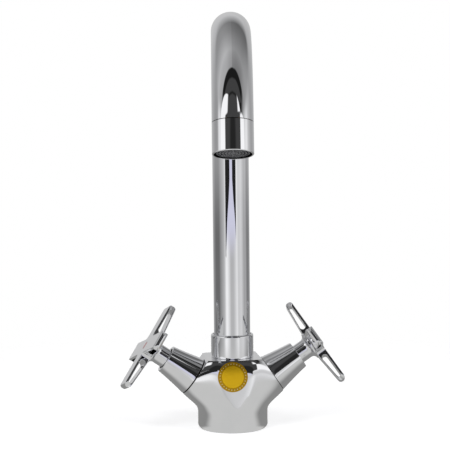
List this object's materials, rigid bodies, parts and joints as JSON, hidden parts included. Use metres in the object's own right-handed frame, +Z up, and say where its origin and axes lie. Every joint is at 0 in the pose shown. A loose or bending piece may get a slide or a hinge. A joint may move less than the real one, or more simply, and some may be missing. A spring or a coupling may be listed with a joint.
{
  "type": "two handle kitchen faucet",
  "caption": "Deck-mounted sink mixer: round cast body, swivel gooseneck spout with aerator, and two inclined valves with cross handles.",
  "frame": {"origin": "centre of the base's underside, on the deck", "axes": "+Z up along the spout's column, -Y towards the user, +X to the user's right (cold side)"},
  "size_m": [0.1562, 0.2016, 0.283],
  "materials": {
    "chrome": "polished",
    "brass": "machined",
    "ceramic": "lapped",
    "rubber": "matte",
    "white_plastic": "moulded",
    "grille_plastic": "moulded",
    "steel": "brushed",
    "hot_dot": "glossy",
    "cold_dot": "glossy"
  },
  "bodies": {
    "faucet_body": {"body": "chrome", "base_seal": "rubber", "collar": "chrome", "left_cover": "chrome", "right_cover": "chrome", "left_valve": "brass", "right_valve": "brass", "left_seat_seal": "rubber", "right_seat_seal": "rubber", "left_fixed_disc": "ceramic", "right_fixed_disc": "ceramic"},
    "spout": {"spout_tube": "chrome", "spout_foot": "brass", "spout_o_rings": "rubber", "spout_split_ring": "white_plastic", "outlet_nipple": "brass", "aerator_housing": "chrome", "aerator_seal": "rubber", "aerator_screen": "steel", "aerator_cage": "grille_plastic"},
    "hot_handle": {"left_handle": "chrome", "left_handle_screw": "steel", "left_index": "hot_dot", "left_stem": "brass", "left_stem_o_rings": "rubber", "left_stem_clip": "steel", "left_moving_disc": "ceramic"},
    "cold_handle": {"right_handle": "chrome", "right_handle_screw": "steel", "right_index": "cold_dot", "right_stem": "brass", "right_stem_o_rings": "rubber", "right_stem_clip": "steel", "right_moving_disc": "ceramic"}
  },
  "joints": [
    {"name": "spout_swivel", "type": "hinge", "parent": "faucet_body", "child": "spout", "pos_m": [0, 0, 0.05], "axis": [0, 0, 1], "continuous": true},
    {"name": "hot_valve", "type": "hinge", "parent": "faucet_body", "child": "hot_handle", "pos_m": [0, 0, 0.0179], "axis": [-0.8271, 0, 0.5621], "range_deg": [0, 90]},
    {"name": "cold_valve", "type": "hinge", "parent": "faucet_body", "child": "cold_handle", "pos_m": [0, 0, 0.0179], "axis": [-0.8271, 0, -0.5621], "range_deg": [0, 90]}
  ]
}
